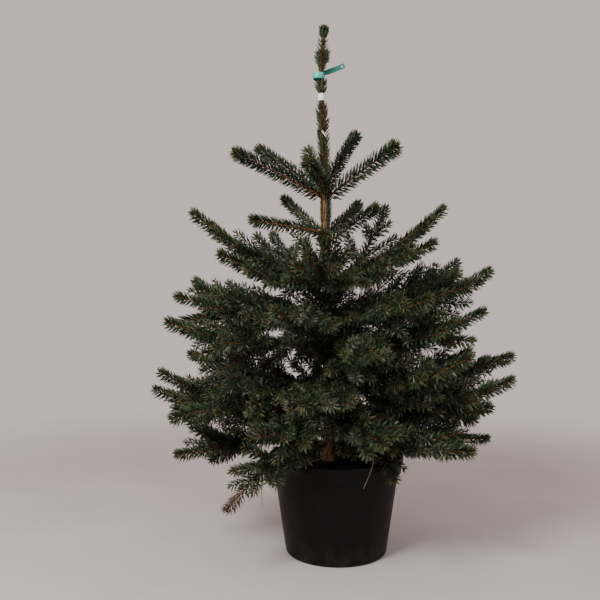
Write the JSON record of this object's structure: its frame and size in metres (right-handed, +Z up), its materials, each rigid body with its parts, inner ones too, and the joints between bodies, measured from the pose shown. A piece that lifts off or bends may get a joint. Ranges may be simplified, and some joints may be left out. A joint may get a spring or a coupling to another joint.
{
  "type": "young spruce tree in a nursery pot",
  "caption": "Young spruce with whorled boughs and dark green needles in a round black plastic nursery pot filled with potting soil.",
  "frame": {"origin": "centre of the pot's flat underside, on the floor it stands on", "axes": "+Z up along the trunk; seen from the front, which is -Y, +X is to the right"},
  "size_m": [1.2095, 1.0504, 1.744],
  "materials": {
    "needles": "satin",
    "bark": "matte",
    "pot_plastic": "satin",
    "potting_soil": "matte",
    "band_paper": "matte",
    "tie_plastic": "satin"
  },
  "bodies": {
    "root": {"bough_tier_1_front_left": "bark", "bough_tier_1_left": "bark", "bough_tier_1_right": "bark", "bough_tier_2_left": "bark", "bough_tier_2_right": "bark", "bough_tier_3_right": "bark", "bough_tier_4_right": "bark", "bough_tier_5_right": "bark", "foliage_tier_1_back_left": "needles", "foliage_tier_1_back_right": "needles", "foliage_tier_1_front_left": "needles", "foliage_tier_1_front_right": "needles", "foliage_tier_1_left": "needles", "foliage_tier_1_right": "needles", "foliage_tier_2_back": "needles", "foliage_tier_2_back_right": "needles", "foliage_tier_2_front": "needles", "foliage_tier_2_front_left": "needles", "foliage_tier_2_left": "needles", "foliage_tier_2_right": "needles", "foliage_tier_3_back_left": "needles", "foliage_tier_3_back_right": "needles", "foliage_tier_3_front": "needles", "foliage_tier_3_front_left": "needles", "foliage_tier_3_front_right": "needles", "foliage_tier_3_right": "needles", "foliage_tier_4_back": "needles", "foliage_tier_4_back_right": "needles", "foliage_tier_4_front": "needles", "foliage_tier_4_left": "needles", "foliage_tier_4_right": "needles", "foliage_tier_5_back_left": "needles", "foliage_tier_5_back_right": "needles", "foliage_tier_5_front": "needles", "foliage_tier_5_front_right": "needles", "foliage_tier_5_left": "needles", "foliage_tier_5_right": "needles", "foliage_tier_6_back_left": "needles", "foliage_tier_6_back_right": "needles", "foliage_tier_6_front": "needles", "foliage_tier_6_front_left": "needles", "foliage_tier_6_front_right": "needles", "foliage_tier_6_left": "needles", "foliage_tier_6_right": "needles", "foliage_tier_7_back_left": "needles", "foliage_tier_7_back_right": "needles", "foliage_tier_7_front": "needles", "foliage_tier_7_left": "needles", "foliage_tier_7_right": "needles", "foliage_tier_8_back_left": "needles", "foliage_tier_8_back_right": "needles", "foliage_tier_8_front": "needles", "foliage_tier_8_left": "needles", "foliage_tier_8_right": "needles", "leader_band": "band_paper", "leader_needles": "needles", "leader_tie": "tie_plastic", "pot": "pot_plastic", "soil": "potting_soil", "trunk": "bark"}
  },
  "joints": []
}
